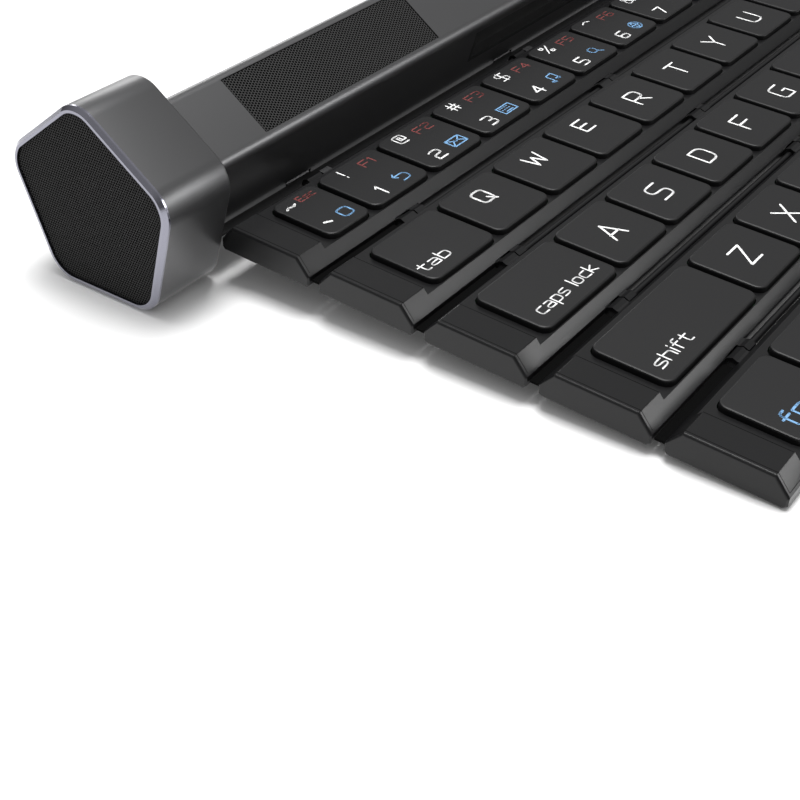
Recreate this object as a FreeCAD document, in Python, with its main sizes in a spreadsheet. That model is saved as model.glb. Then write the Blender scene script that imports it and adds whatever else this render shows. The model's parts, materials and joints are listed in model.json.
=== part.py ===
"""Roll-up keyboard: five key rows hinged in a chain that wraps round a five-sided speaker bar.

Frame: +X runs along the rows to the typist's right, +Y goes away from the typist, +Z is up.
The origin is at the middle of the resting outline, on the table.
"""
import os
import re

import FreeCAD
import Part
import Sketcher

PARTS_FOLDER = "parts"
SHEET = "Sizes"

# Driving dimensions in millimetres and degrees: alias, value, meaning.
SIZES = (
    ("row_length", 256.5, "length of a key row"),
    ("row_pitch", 20.8, "distance between neighbouring hinge axes"),
    ("row_height", 5.0, "thickness of a row at its raised ends"),
    ("row_gap", 1.97, "gap between the edges of neighbouring rows"),
    ("row_slope", 3.5, "slope of the opened rows, degrees"),
    ("edge_height", 2.1, "height of a row's upright edge"),
    ("front_bevel", 2.6, "run of the bevel along a row's front"),
    ("back_bevel", 2.4, "run of the bevel along a row's back"),
    ("foot_chamfer", 0.6, "chamfer along a row's underside"),
    ("end_chamfer", 0.3, "chamfer round a row's end faces"),
    ("end_zone", 6.2, "length of a row's raised end"),
    ("deck_height", 4.0, "height of the key deck"),
    ("deck_thickness", 0.8, "thickness of the key deck"),
    ("tray_floor", 0.9, "floor of a row's tray"),
    ("tray_wall", 1.8, "wall of a row's tray"),
    ("board_thickness", 0.8, "thickness of a key board"),
    ("board_clearance", 0.3, "clearance round a key board"),
    ("switch_side", 4.5, "side of a tact switch"),
    ("switch_height", 0.35, "height of a tact switch"),
    ("row_units", 14.118, "letter key pitches that a row's keys take up"),
    ("key_gap", 1.3, "gap between neighbouring keys"),
    ("key_margin", 8.9, "distance from a row's end to its first key"),
    ("key_front", 2.2, "distance from a row's front edge to its keys"),
    ("key_depth", 13.7, "depth of a key"),
    ("key_base", 3.5, "height of a key's underside"),
    ("key_corner", 1.0, "corner chamfer of a key"),
    ("key_clearance", 0.25, "clearance between a key and the deck"),
    ("tilde_units", 0.706, "narrow first key, in letter key pitches"),
    ("tab_units", 1.112, "tab key, in letter key pitches"),
    ("caps_units", 1.37, "caps lock key, in letter key pitches"),
    ("shift_units", 1.829, "left shift key, in letter key pitches"),
    ("space_units", 5.0, "space bar, in letter key pitches"),
    ("hinge_height", 1.3, "height of a hinge axis over a row's underside"),
    ("hinge_inset", 26.7, "distance from a row's end to its first hinge"),
    ("knuckle_radius", 1.2, "radius of a hinge knuckle"),
    ("lug_width", 3.6, "width of a hinge's lug on the nearer row"),
    ("ear_width", 2.4, "width of the hinge ear beside the lug"),
    ("web_length", 1.9, "length of the web behind a knuckle"),
    ("web_rise", 1.0, "rise of the web over the hinge axis"),
    ("hinge_clearance", 0.3, "clearance round a knuckle"),
    ("pin_radius", 0.6, "radius of a row hinge pin"),
    ("pin_clearance", 0.03, "radial running clearance of the pins"),
    ("leaf_inset", 0.56, "distance from the bar's hinge corner in to the leaf's pin"),
    ("leaf_thickness", 0.3, "thickness of the bar leaf"),
    ("leaf_barrel", 0.6, "radius of the bar leaf's barrels"),
    ("leaf_pin_radius", 0.3, "radius of the bar leaf's pins"),
    ("leaf_margin", 0.6, "distance from a row's end to the bar leaf's end"),
    ("leaf_start", 1.1, "distance from the bar pins' axis to the leaf's plate"),
    ("leaf_slit", 0.1, "slit between the leaf's plate and the first hinge pin"),
    ("leaf_pin_grip", 3.0, "length of leaf pin held in the bar at each side"),
    ("leaf_seat", 0.5, "room left for the bar leaf on each side of the mitre line"),
    ("leaf_relief", 0.9, "room cut for the bar leaf round its pin"),
    ("cap_apothem", 15.85, "distance from the bar's axis to the end caps' flats"),
    ("cap_radius", 5.5, "corner radius of the end caps"),
    ("cap_length", 14.8, "length of an end cap with its rim"),
    ("cap_wall", 1.6, "wall of an end cap"),
    ("side_gap", 0.6, "gap between the rows and the end caps"),
    ("rim_depth", 1.0, "depth of the bright rim"),
    ("rim_width", 1.1, "width of the bright rim"),
    ("rim_chamfer", 0.55, "outer chamfer of the bright rim"),
    ("grille_thickness", 0.5, "thickness of the end grilles"),
    ("grille_clearance", 0.1, "clearance round the end grilles"),
    ("tube_inset", 5.6, "depth of the bar's flats under the caps' flats"),
    ("tube_radius", 2.0, "corner radius of the bar"),
    ("tube_wall", 1.6, "wall of the bar"),
    ("hinge_edge_radius", 0.4, "corner radius of the bar's hinge edge"),
    ("window_start", 15.8, "distance from a row's end to the front grille"),
    ("window_length", 50.7, "length of a front grille"),
    ("window_width", 12.0, "width of a front grille"),
    ("window_sink", 0.2, "depth of a front grille under the bar's flat"),
    ("channel_start", 79.0, "distance from a row's end to the rest channel"),
    ("channel_low", 2.0, "distance from the flat's middle down to the channel"),
    ("channel_width", 7.0, "width of the rest channel"),
    ("channel_depth", 3.0, "depth of the rest channel's tray"),
    ("channel_wall", 1.0, "wall of the rest channel's tray"),
    ("driver_rim", 11.5, "radius of an end driver's rim"),
    ("driver_depth", 9.2, "depth of an end driver"),
    ("driver_magnet", 7.5, "radius of an end driver's magnet"),
    ("driver_frame", 3.0, "depth of an end driver's frame"),
    ("bar_driver_length", 56.0, "length of a bar driver"),
    ("bar_driver_width", 9.0, "width of a bar driver"),
    ("bar_driver_depth", 5.0, "depth of a bar driver"),
    ("bar_driver_corner", 2.0, "corner chamfer of a bar driver"),
    ("main_board_length", 110.0, "length of the main board"),
    ("main_board_width", 11.0, "width of the main board"),
    ("main_board_thickness", 1.2, "thickness of the main board"),
    ("battery_radius", 6.2, "radius of the battery cell"),
    ("battery_length", 60.0, "length of the battery cell"),
    ("battery_offset", 1.2, "distance from the bar's axis back to the cell"),
    ("socket_place", 60.0, "distance from the middle to the charging socket"),
    ("socket_length", 7.6, "length of the charging socket"),
    ("socket_width", 2.8, "width of the charging socket"),
    ("socket_depth", 5.0, "depth of the charging socket"),
    ("socket_wall", 0.4, "wall of the charging socket"),
    ("switch_place", 78.0, "distance from the middle to the power switch"),
    ("slider_length", 5.0, "length of the power switch's knob"),
    ("slider_width", 2.4, "width of the power switch's knob"),
    ("slider_depth", 1.8, "depth of the power switch's knob"),
    ("slider_travel", 2.0, "travel of the power switch"),
    ("slider_sink", 0.3, "depth of the knob under the bar's flat"),
    ("slider_clearance", 0.3, "clearance round the power switch's knob"),
)

# Key widths from left to right, in letter key pitches; each row's last key runs on to the right margin.
LETTER = "1"
ROW_KEYS = (
    ["tilde_units"] + [LETTER] * 12,
    ["tab_units"] + [LETTER] * 12,
    ["caps_units"] + [LETTER] * 11,
    ["shift_units"] + [LETTER] * 11,
    [LETTER] * 4 + ["space_units"] + [LETTER] * 4,
)
ROWS = range(1, len(ROW_KEYS) + 1)
# Wide keys that are pieces of their own: (row, place in the row).
WIDE_KEYS = {
    (1, 13): "backspace_key",
    (2, 0): "tab_key",
    (3, 0): "caps_lock_key",
    (3, 12): "enter_key",
    (4, 0): "left_shift_key",
    (4, 12): "right_shift_key",
    (5, 0): "fn_key",
    (5, 4): "space_bar",
}
# Turn of each flat of the bar about X, from the flat that faces up.
UPPER_FRONT_ANGLE = 36
LOWER_FRONT_ANGLE = 108
LOWER_BACK_ANGLE = 252

# Derived lengths, as expressions of the driving dimensions.
HALF_GAP = "(row_gap / 2)"
HALF_ROW = "(row_length / 2)"
FRONT_EDGE = f"({HALF_GAP} - row_pitch)"
BACK_EDGE = f"(-{HALF_GAP})"
BEVEL_RISE = "(row_height - edge_height)"
LEDGE = "(deck_height - deck_thickness)"
STATION = "(lug_width + hinge_clearance + ear_width)"
KEY_PITCH = "((row_length - 2 * key_margin + key_gap) / row_units)"
TUBE_APOTHEM = "(cap_apothem - tube_inset)"
# The leaf's pin lies on the mitre line of the rolled rows, just inside the bar's hinge corner. The leaf
# reaches from there to the first row hinge, which has one place when opened and one when rolled up.
# Places are given as reach before the bar's axis and height over the table.
LEAF_RADIUS = f"({TUBE_APOTHEM} / cos(36 deg) - leaf_inset)"
LEAF_LENGTH = f"(row_pitch / 2 / sin(36 deg) - {LEAF_RADIUS})"
LEAF_REACH = f"({LEAF_RADIUS} * sin(36 deg))"
LEAF_HEIGHT = f"(cap_apothem - {LEAF_RADIUS} * cos(36 deg))"
OPEN_HEIGHT = (
    "(hinge_height * cos(row_slope * 1 deg)"
    f" + (5 * row_pitch - {HALF_GAP} - foot_chamfer) * sin(row_slope * 1 deg))"
)
LEAF_ANGLE = f"asin(({OPEN_HEIGHT} - {LEAF_HEIGHT}) / {LEAF_LENGTH})"
OPEN_REACH = f"({LEAF_REACH} + {LEAF_LENGTH} * cos({LEAF_ANGLE}))"
FRONT_REACH = (
    f"({OPEN_REACH} + (5 * row_pitch - {HALF_GAP}) * cos(row_slope * 1 deg)"
    " + (edge_height - hinge_height) * sin(row_slope * 1 deg))"
)
BACK_REACH = "((cap_apothem - cap_radius) / cos(36 deg) * cos(18 deg) + cap_radius)"
BAR_Y = f"(({FRONT_REACH} - {BACK_REACH}) / 2)"

doc = FreeCAD.newDocument("RollUpKeyboard")
sheet = doc.addObject("Spreadsheet::Sheet", SHEET)
for line, (alias, value, meaning) in enumerate(SIZES, start=1):
    sheet.set(f"A{line}", meaning)
    sheet.set(f"B{line}", str(value))
    sheet.setAlias(f"B{line}", alias)
doc.recompute()

ALIASES = re.compile(r"\b(" + "|".join(alias for alias, _, _ in SIZES) + r")\b")
X_AXIS = FreeCAD.Vector(1, 0, 0)
Y_AXIS = FreeCAD.Vector(0, 1, 0)
nodes = {}


def formula(text):
    """Point the size names in an expression at the sheet."""
    return ALIASES.sub(SHEET + r".\1", str(text))


def number(text):
    """Value of an expression of the sheet's sizes."""
    value = sheet.evalExpression(formula(text))
    return float(getattr(value, "Value", value))


def bind(item, **expressions):
    """Bind an object's properties to expressions of the sheet's sizes."""
    for name, text in expressions.items():
        item.setExpression(name, formula(text))


def place(item, x="0", y="0", z="0", turn=None):
    """Bind an object's place, and its turn about X in degrees."""
    if turn is not None:
        item.Placement.Rotation = FreeCAD.Rotation(X_AXIS, number(turn) or 1e-6)
        item.setExpression("Placement.Rotation.Angle", formula(f"({turn}) * 1 deg"))
    for axis, text in (("x", x), ("y", y), ("z", z)):
        item.setExpression(f"Placement.Base.{axis}", formula(text))
    return item


def box(name, size, corner):
    """Block with bound sides and corner."""
    item = doc.addObject("Part::Box", name)
    bind(item, Length=size[0], Width=size[1], Height=size[2])
    return place(item, *corner)


def rod(name, radius, length, start):
    """Cylinder along X with bound radius, length and start."""
    item = doc.addObject("Part::Cylinder", name)
    bind(item, Radius=radius, Height=length)
    item.Placement.Rotation = FreeCAD.Rotation(Y_AXIS, 90)
    return place(item, *start)


def octagon_rod(name, flat_radius, length, start):
    """Eight-sided rod along X, sized to its flats."""
    item = doc.addObject("Part::Prism", name)
    item.Polygon = 8
    bind(item, Circumradius=f"({flat_radius}) / cos(22.5 deg)", Height=length)
    item.Placement.Rotation = FreeCAD.Rotation(Y_AXIS, 90)
    return place(item, *start)


def group(name, members):
    """Separate solids held as one object."""
    item = doc.addObject("Part::Compound", name)
    item.Links = members
    return item


def fuse(name, members):
    """Solids joined into one."""
    item = doc.addObject("Part::MultiFuse", name)
    item.Shapes = members
    return item


def cut(name, base, tools):
    """Base solid with every tool taken away."""
    item = doc.addObject("Part::Cut", name)
    item.Base = base
    item.Tool = tools[0] if len(tools) == 1 else group(name + "_tools", tools)
    return item


def prism(name, outline, length, start=("0", "0", "0"), fillets=(), chamfer=None, chamfered_ends=(-1, 1)):
    """Body padded along X from an outline of bound corners in the YZ plane.

    fillets holds (radius, corner indices); chamfer breaks the outline's edge at the ends whose signs
    of X are in chamfered_ends.
    """
    body = doc.addObject("PartDesign::Body", name)
    plane = next(p for p in body.Origin.OriginFeatures if p.Role == "YZ_Plane")
    sketch = body.newObject("Sketcher::SketchObject", name + "_outline")
    sketch.AttachmentSupport = [(plane, "")]
    sketch.MapMode = "FlatFace"
    corners = [FreeCAD.Vector(number(y), number(z), 0) for y, z in outline]
    sides = [(a, b) for a, b in zip(corners, corners[1:] + corners[:1])]
    sketch.addGeometry([Part.LineSegment(a, b) for a, b in sides], False)
    count = len(outline)
    for side in range(count):
        sketch.addConstraint(Sketcher.Constraint("Coincident", side, 2, (side + 1) % count, 1))
    for side, (y, z) in enumerate(outline):
        for kind, axis, text, value in (
            ("DistanceX", -2, y, corners[side].x),
            ("DistanceY", -1, z, corners[side].y),
        ):
            if text == "0":
                sketch.addConstraint(Sketcher.Constraint("PointOnObject", side, 1, axis))
                continue
            place_index = sketch.addConstraint(Sketcher.Constraint(kind, -1, 1, side, 1, value))
            sketch.setExpression(f"Constraints[{place_index}]", formula(text))
    tip = body.newObject("PartDesign::Pad", name + "_pad")
    tip.Profile = sketch
    bind(tip, Length=length)
    doc.recompute()
    for radius, picked in fillets:
        wanted = [corners[index] for index in picked]
        edges = [
            f"Edge{index}"
            for index, edge in enumerate(tip.Shape.Edges, start=1)
            if is_long_edge(edge, wanted)
        ]
        fillet = body.newObject("PartDesign::Fillet", name + "_corners")
        fillet.Base = (tip, edges)
        bind(fillet, Radius=radius)
        tip = fillet
        doc.recompute()
    if chamfer:
        ends = [
            f"Face{index}"
            for index, face in enumerate(tip.Shape.Faces, start=1)
            if any(face.normalAt(0, 0).x * end > 0.99 for end in chamfered_ends)
        ]
        break_edge = body.newObject("PartDesign::Chamfer", name + "_ends")
        break_edge.Base = (tip, ends)
        bind(break_edge, Size=chamfer)
        doc.recompute()
    return place(body, *start)


def is_long_edge(edge, corners):
    """True for an edge along X that stands on one of the outline's corners."""
    first, last = edge.Vertexes[0].Point, edge.Vertexes[-1].Point
    if abs(first.y - last.y) > 1e-6 or abs(first.z - last.z) > 1e-6:
        return False
    return any(abs(first.y - c.x) < 1e-6 and abs(first.z - c.y) < 1e-6 for c in corners)


def pentagon(apothem):
    """Corners of the five-sided section about the bar's axis: top, upper front, and on round."""
    reach = f"({apothem}) / cos(36 deg)"
    return [
        ("0", reach),
        (f"-{reach} * cos(18 deg)", f"{reach} * sin(18 deg)"),
        (f"-{reach} * sin(36 deg)", f"-({apothem})"),
        (f"{reach} * sin(36 deg)", f"-({apothem})"),
        (f"{reach} * cos(18 deg)", f"{reach} * sin(18 deg)"),
    ]


def bar_prism(name, apothem, length, x, fillets=(), chamfer=None, chamfered_ends=()):
    """Five-sided body round the bar's axis."""
    start = (x, BAR_Y, "cap_apothem")
    return prism(name, pentagon(apothem), length, start, fillets, chamfer, chamfered_ends)


def on_flat(name, turn, size, x, across, out):
    """Block on one of the bar's flats: across from the flat's middle, out from the bar's axis."""
    item = doc.addObject("Part::Box", name)
    bind(item, Length=size[0], Width=size[1], Height=size[2])
    y = f"{BAR_Y} + cos({turn} deg) * ({across}) - sin({turn} deg) * ({out})"
    z = f"cap_apothem + sin({turn} deg) * ({across}) + cos({turn} deg) * ({out})"
    return place(item, x, y, z, turn)


def add_node(name, item):
    """Keep an object as a named piece of the product."""
    item.Label = name
    nodes[name] = item


def stations():
    """Left ends of the hinge stations along a row, measured from the row's left end."""
    half = f"{STATION} / 2"
    spacing = "(row_length - 2 * hinge_inset) / 3"
    return {
        "left": f"(hinge_inset - {half})",
        "mid_left": f"(hinge_inset + {spacing} - {half})",
        "mid_right": f"(hinge_inset + 2 * {spacing} - {half})",
        "right": f"(row_length - hinge_inset - {half})",
    }


def bevel_front(height):
    """Y of a row's front bevel at a height over the row's underside."""
    return f"({FRONT_EDGE} + (({height}) - edge_height) * front_bevel / {BEVEL_RISE})"


def bevel_back(height):
    """Y of a row's back bevel at a height over the row's underside."""
    return f"({BACK_EDGE} - (({height}) - edge_height) * back_bevel / {BEVEL_RISE})"


def place_row(item, row):
    """Put a piece that is drawn in its row's own frame on the slope of the opened rows."""
    steps = row - 1
    slope = "row_slope * 1 deg"
    y = (
        f"{BAR_Y} - {OPEN_REACH} - {steps} * row_pitch * cos({slope})"
        f" + hinge_height * sin({slope})"
    )
    z = f"((5 - {steps}) * row_pitch - {HALF_GAP} - foot_chamfer) * sin({slope})"
    return place(item, f"-{HALF_ROW}", y, z, "row_slope")


def knuckles(name, axis_y, toward, places):
    """Hinge knuckles on one axis; toward is the sign of Y from the axis into the row's body."""
    made = []
    for index, (start, width) in enumerate(places):
        barrel = octagon_rod(
            f"{name}_barrel_{index}", "knuckle_radius", width, (start, axis_y, "hinge_height")
        )
        web_y = axis_y if toward > 0 else f"{axis_y} - web_length"
        web = box(
            f"{name}_web_{index}",
            (width, "web_length", "knuckle_radius + web_rise"),
            (start, web_y, "hinge_height - knuckle_radius"),
        )
        made += [barrel, web]
    return made


def lug_places():
    """Start and width of the lug at each hinge station."""
    return [(start, "lug_width") for start in stations().values()]


def ear_places():
    """Start and width of the ear at each hinge station."""
    inset = "lug_width + hinge_clearance"
    return [(f"{start} + {inset}", "ear_width") for start in stations().values()]


def leaf_seats(name, row):
    """Room for the bar leaf on the two row edges that close on it when rolled up."""
    edges = {ROWS[0]: ("0", 36), ROWS[-1]: ("-row_pitch", -36)}
    if row not in edges:
        return []
    axis_y, turn = edges[row]
    seats = []
    for side, start in stations().items():
        seat = doc.addObject("Part::Box", f"{name}_seat_{side}")
        bind(
            seat,
            Length=f"{STATION} + 2 * hinge_clearance",
            Width="2 * leaf_seat",
            Height="2 * row_height",
        )
        y = f"{axis_y} - leaf_seat * cos({turn} deg)"
        z = f"hinge_height - leaf_seat * sin({turn} deg)"
        seats.append(place(seat, f"{start} - hinge_clearance", y, z, turn))
    return seats


def make_tray(row):
    """Moulded tray of a row, with its raised ends, bevelled walls and hinge knuckles."""
    name = f"row_{row}_tray"
    outline = [
        (BACK_EDGE, "foot_chamfer"),
        (BACK_EDGE, "edge_height"),
        (f"{BACK_EDGE} - back_bevel", "row_height"),
        (f"{FRONT_EDGE} + front_bevel", "row_height"),
        (FRONT_EDGE, "edge_height"),
        (FRONT_EDGE, "foot_chamfer"),
        (f"{FRONT_EDGE} + foot_chamfer", "0"),
        (f"{BACK_EDGE} - foot_chamfer", "0"),
    ]
    shell = prism(name + "_shell", outline, "row_length", chamfer="end_chamfer")
    middle = box(
        name + "_middle",
        ("row_length - 2 * end_zone", "row_pitch", "row_height"),
        ("end_zone", "-row_pitch", LEDGE),
    )
    hollow = box(
        name + "_hollow",
        (
            "row_length - 2 * end_zone - 2 * tray_wall",
            "row_pitch - row_gap - 2 * tray_wall",
            "row_height",
        ),
        ("end_zone + tray_wall", f"{FRONT_EDGE} + tray_wall", "tray_floor"),
    )
    grooves = []
    holes = []
    for axis_name, axis_y in (("back", "0"), ("front", "-row_pitch")):
        for side, start in stations().items():
            grooves.append(
                octagon_rod(
                    f"{name}_{axis_name}_groove_{side}",
                    "knuckle_radius + hinge_clearance",
                    f"{STATION} + 2 * hinge_clearance",
                    (f"{start} - hinge_clearance", axis_y, "hinge_height"),
                )
            )
            holes.append(
                octagon_rod(
                    f"{name}_{axis_name}_hole_{side}",
                    "pin_radius + pin_clearance",
                    STATION,
                    (start, axis_y, "hinge_height"),
                )
            )
    grooves += leaf_seats(name, row)
    pieces = [cut(name + "_open", shell, [middle, hollow] + grooves)]
    pieces += knuckles(name + "_lug", "0", -1, lug_places())
    if row < ROWS[-1]:
        pieces += knuckles(name + "_ear", "-row_pitch", 1, ear_places())
    tray = cut(name, fuse(name + "_whole", pieces), holes)
    add_node(name, place_row(tray, row))


def key_spans(row):
    """Left edge and width of each key of a row, from the row's left end."""
    spans = []
    left = "key_margin"
    for units in ROW_KEYS[row - 1]:
        spans.append((left, f"({units} * {KEY_PITCH} - key_gap)"))
        left = f"({left} + {units} * {KEY_PITCH})"
    spans.append((left, f"(row_length - key_margin - {left})"))
    return spans


def make_deck(row):
    """Key deck of a row, with an opening for each key."""
    name = f"row_{row}_deck"
    outline = [
        (bevel_back(LEDGE), LEDGE),
        (bevel_back("deck_height"), "deck_height"),
        (bevel_front("deck_height"), "deck_height"),
        (bevel_front(LEDGE), LEDGE),
    ]
    plate = prism(name + "_plate", outline, "row_length - 2 * end_zone", ("end_zone", "0", "0"))
    openings = [
        box(
            f"{name}_opening_{index}",
            (f"{width} + 2 * key_clearance", "key_depth + 2 * key_clearance", "row_height"),
            (f"{left} - key_clearance", f"{FRONT_EDGE} + key_front - key_clearance", "tray_floor"),
        )
        for index, (left, width) in enumerate(key_spans(row))
    ]
    add_node(name, place_row(cut(name, plate, openings), row))


def make_board(row):
    """Key board of a row, on the tray's floor, and the tact switch under each key."""
    name = f"row_{row}_board"
    margin = "(tray_wall + board_clearance)"
    board = box(
        name,
        (
            f"row_length - 2 * end_zone - 2 * {margin}",
            f"row_pitch - row_gap - 2 * {margin}",
            "board_thickness",
        ),
        (f"end_zone + {margin}", f"{FRONT_EDGE} + {margin}", "tray_floor"),
    )
    add_node(name, place_row(group(name + "_part", [board]), row))
    switches = [
        box(
            f"row_{row}_switch_{index}",
            ("switch_side", "switch_side", "switch_height"),
            (
                f"{left} + {width} / 2 - switch_side / 2",
                f"{FRONT_EDGE} + key_front + key_depth / 2 - switch_side / 2",
                "tray_floor + board_thickness",
            ),
        )
        for index, (left, width) in enumerate(key_spans(row))
    ]
    name = f"row_{row}_switches"
    add_node(name, place_row(group(name, switches), row))


def keycap(name, left, width):
    """Flat keycap with broken corners."""
    block = box(
        name + "_block",
        (width, "key_depth", "row_height - key_base"),
        (left, f"{FRONT_EDGE} + key_front", "key_base"),
    )
    doc.recompute()
    cap = doc.addObject("Part::Chamfer", name + "_cap")
    cap.Base = block
    corner = number("key_corner")
    cap.Edges = [
        (index, corner, corner)
        for index, edge in enumerate(block.Shape.Edges, start=1)
        if abs(edge.tangentAt(edge.FirstParameter).z) > 0.99
    ]
    return cap


def make_keys(row):
    """Keycaps of a row: the plain keys as one set, each wide key as a piece of its own."""
    plain = []
    for index, (left, width) in enumerate(key_spans(row)):
        wide = WIDE_KEYS.get((row, index))
        cap = keycap(wide or f"row_{row}_key_{index}", left, width)
        if wide:
            add_node(wide, place_row(group(wide, [cap]), row))
        else:
            plain.append(cap)
    name = f"row_{row}_keys"
    add_node(name, place_row(group(name, plain), row))


def make_hinge_pin(row):
    """Long pin of the hinge at a row's back."""
    name = f"hinge_{row}_pin"
    length = f"row_length - 2 * hinge_inset + {STATION}"
    pin = rod(name + "_wire", "pin_radius", length, (stations()["left"], "0", "hinge_height"))
    add_node(name, place_row(group(name, [pin]), row))


def make_leaf():
    """Hinge leaf that carries the first row, drawn from its axis in the bar, and its pins."""
    row_axis = f"-{LEAF_LENGTH}"
    solids = [
        box(
            "bar_leaf_plate",
            (
                "row_length - 2 * leaf_margin",
                f"{LEAF_LENGTH} - pin_radius - leaf_slit - leaf_start",
                "leaf_thickness",
            ),
            ("leaf_margin", f"{row_axis} + pin_radius + leaf_slit", "-leaf_thickness / 2"),
        )
    ]
    tools = []
    pins = []
    for side, start in stations().items():
        name = f"bar_leaf_{side}"
        ear_start = f"{start} + lug_width + hinge_clearance"
        solids += [
            octagon_rod(name + "_barrel", "leaf_barrel", STATION, (start, "0", "0")),
            box(
                name + "_tab",
                (STATION, LEAF_LENGTH, "leaf_thickness"),
                (start, row_axis, "-leaf_thickness / 2"),
            ),
            octagon_rod(name + "_ear", "knuckle_radius", "ear_width", (ear_start, row_axis, "0")),
        ]
        tools += [
            octagon_rod(
                name + "_room",
                "knuckle_radius + hinge_clearance",
                "lug_width + 2 * hinge_clearance",
                (f"{start} - hinge_clearance", row_axis, "0"),
            ),
            octagon_rod(
                name + "_row_hole", "pin_radius + pin_clearance", STATION, (start, row_axis, "0")
            ),
            octagon_rod(
                name + "_bar_hole", "leaf_pin_radius + pin_clearance", STATION, (start, "0", "0")
            ),
        ]
        pins.append(
            octagon_rod(
                name + "_pin",
                "leaf_pin_radius",
                f"{STATION} + 2 * leaf_pin_grip",
                (f"{start} - leaf_pin_grip", "0", "0"),
            )
        )
    whole = cut("bar_leaf", fuse("bar_leaf_whole", solids), tools)
    for name, item in (("bar_leaf", whole), ("bar_leaf_pins", group("bar_leaf_pins", pins))):
        y = f"{BAR_Y} - {LEAF_REACH}"
        add_node(name, place(item, f"-{HALF_ROW}", y, LEAF_HEIGHT, f"-{LEAF_ANGLE} / 1 deg"))


def mirrored(x, length, side):
    """Left end of a piece that starts at x from the middle on one side of the product."""
    return x if side > 0 else f"-({x}) - ({length})"


def make_tube():
    """Five-sided bar between the end caps, with its windows and the hinge edge's notches."""
    length = "row_length + 2 * side_gap"
    start = f"-{HALF_ROW} - side_gap"
    outer = bar_prism(
        "tube_outer", TUBE_APOTHEM, length, start,
        fillets=(("tube_radius", (0, 1, 3, 4)), ("hinge_edge_radius", (2,))),
    )
    inner = bar_prism("tube_inner", f"{TUBE_APOTHEM} - tube_wall", length, start)
    tools = []
    window_x = f"{HALF_ROW} - window_start - window_length"
    for side, label in ((-1, "left"), (1, "right")):
        tools.append(
            on_flat(
                f"tube_window_{label}", UPPER_FRONT_ANGLE,
                ("window_length", "window_width", "2 * tube_wall"),
                mirrored(window_x, "window_length", side),
                "-window_width / 2", f"{TUBE_APOTHEM} - 1.5 * tube_wall",
            )
        )
    channel_length = "(row_length - 2 * channel_start)"
    tools.append(
        on_flat(
            "tube_channel", LOWER_FRONT_ANGLE, (channel_length, "channel_width", "2 * tube_wall"),
            f"-{channel_length} / 2", "-channel_low", f"{TUBE_APOTHEM} - 1.5 * tube_wall",
        )
    )
    tools.append(
        on_flat(
            "tube_socket_hole", LOWER_BACK_ANGLE, ("socket_length", "socket_width", "2 * tube_wall"),
            "socket_place", "-socket_width / 2", f"{TUBE_APOTHEM} - 1.5 * tube_wall",
        )
    )
    slot = "slider_length + slider_travel + 2 * slider_clearance"
    tools.append(
        on_flat(
            "tube_switch_slot", LOWER_BACK_ANGLE,
            (slot, "slider_width + 2 * slider_clearance", "2 * tube_wall"),
            "switch_place - slider_clearance", "-slider_width / 2 - slider_clearance",
            f"{TUBE_APOTHEM} - 1.5 * tube_wall",
        )
    )
    for side, at in stations().items():
        tools.append(
            box(
                f"tube_notch_{side}",
                (f"{STATION} + 2 * hinge_clearance", "3 * leaf_relief", "3 * leaf_relief"),
                (
                    f"{at} - {HALF_ROW} - hinge_clearance",
                    f"{BAR_Y} - {LEAF_REACH} - 2 * leaf_relief",
                    f"{LEAF_HEIGHT} - 2 * leaf_relief",
                ),
            )
        )
        tools.append(
            octagon_rod(
                f"tube_pin_hole_{side}", "leaf_pin_radius + pin_clearance",
                f"{STATION} + 2 * leaf_pin_grip",
                (f"{at} - {HALF_ROW} - leaf_pin_grip", f"{BAR_Y} - {LEAF_REACH}", LEAF_HEIGHT),
            )
        )
    pipe = cut("tube_pipe", outer, [inner])
    add_node("bar_tube", cut("bar_tube", pipe, [fuse("tube_tools", tools)]))


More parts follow.
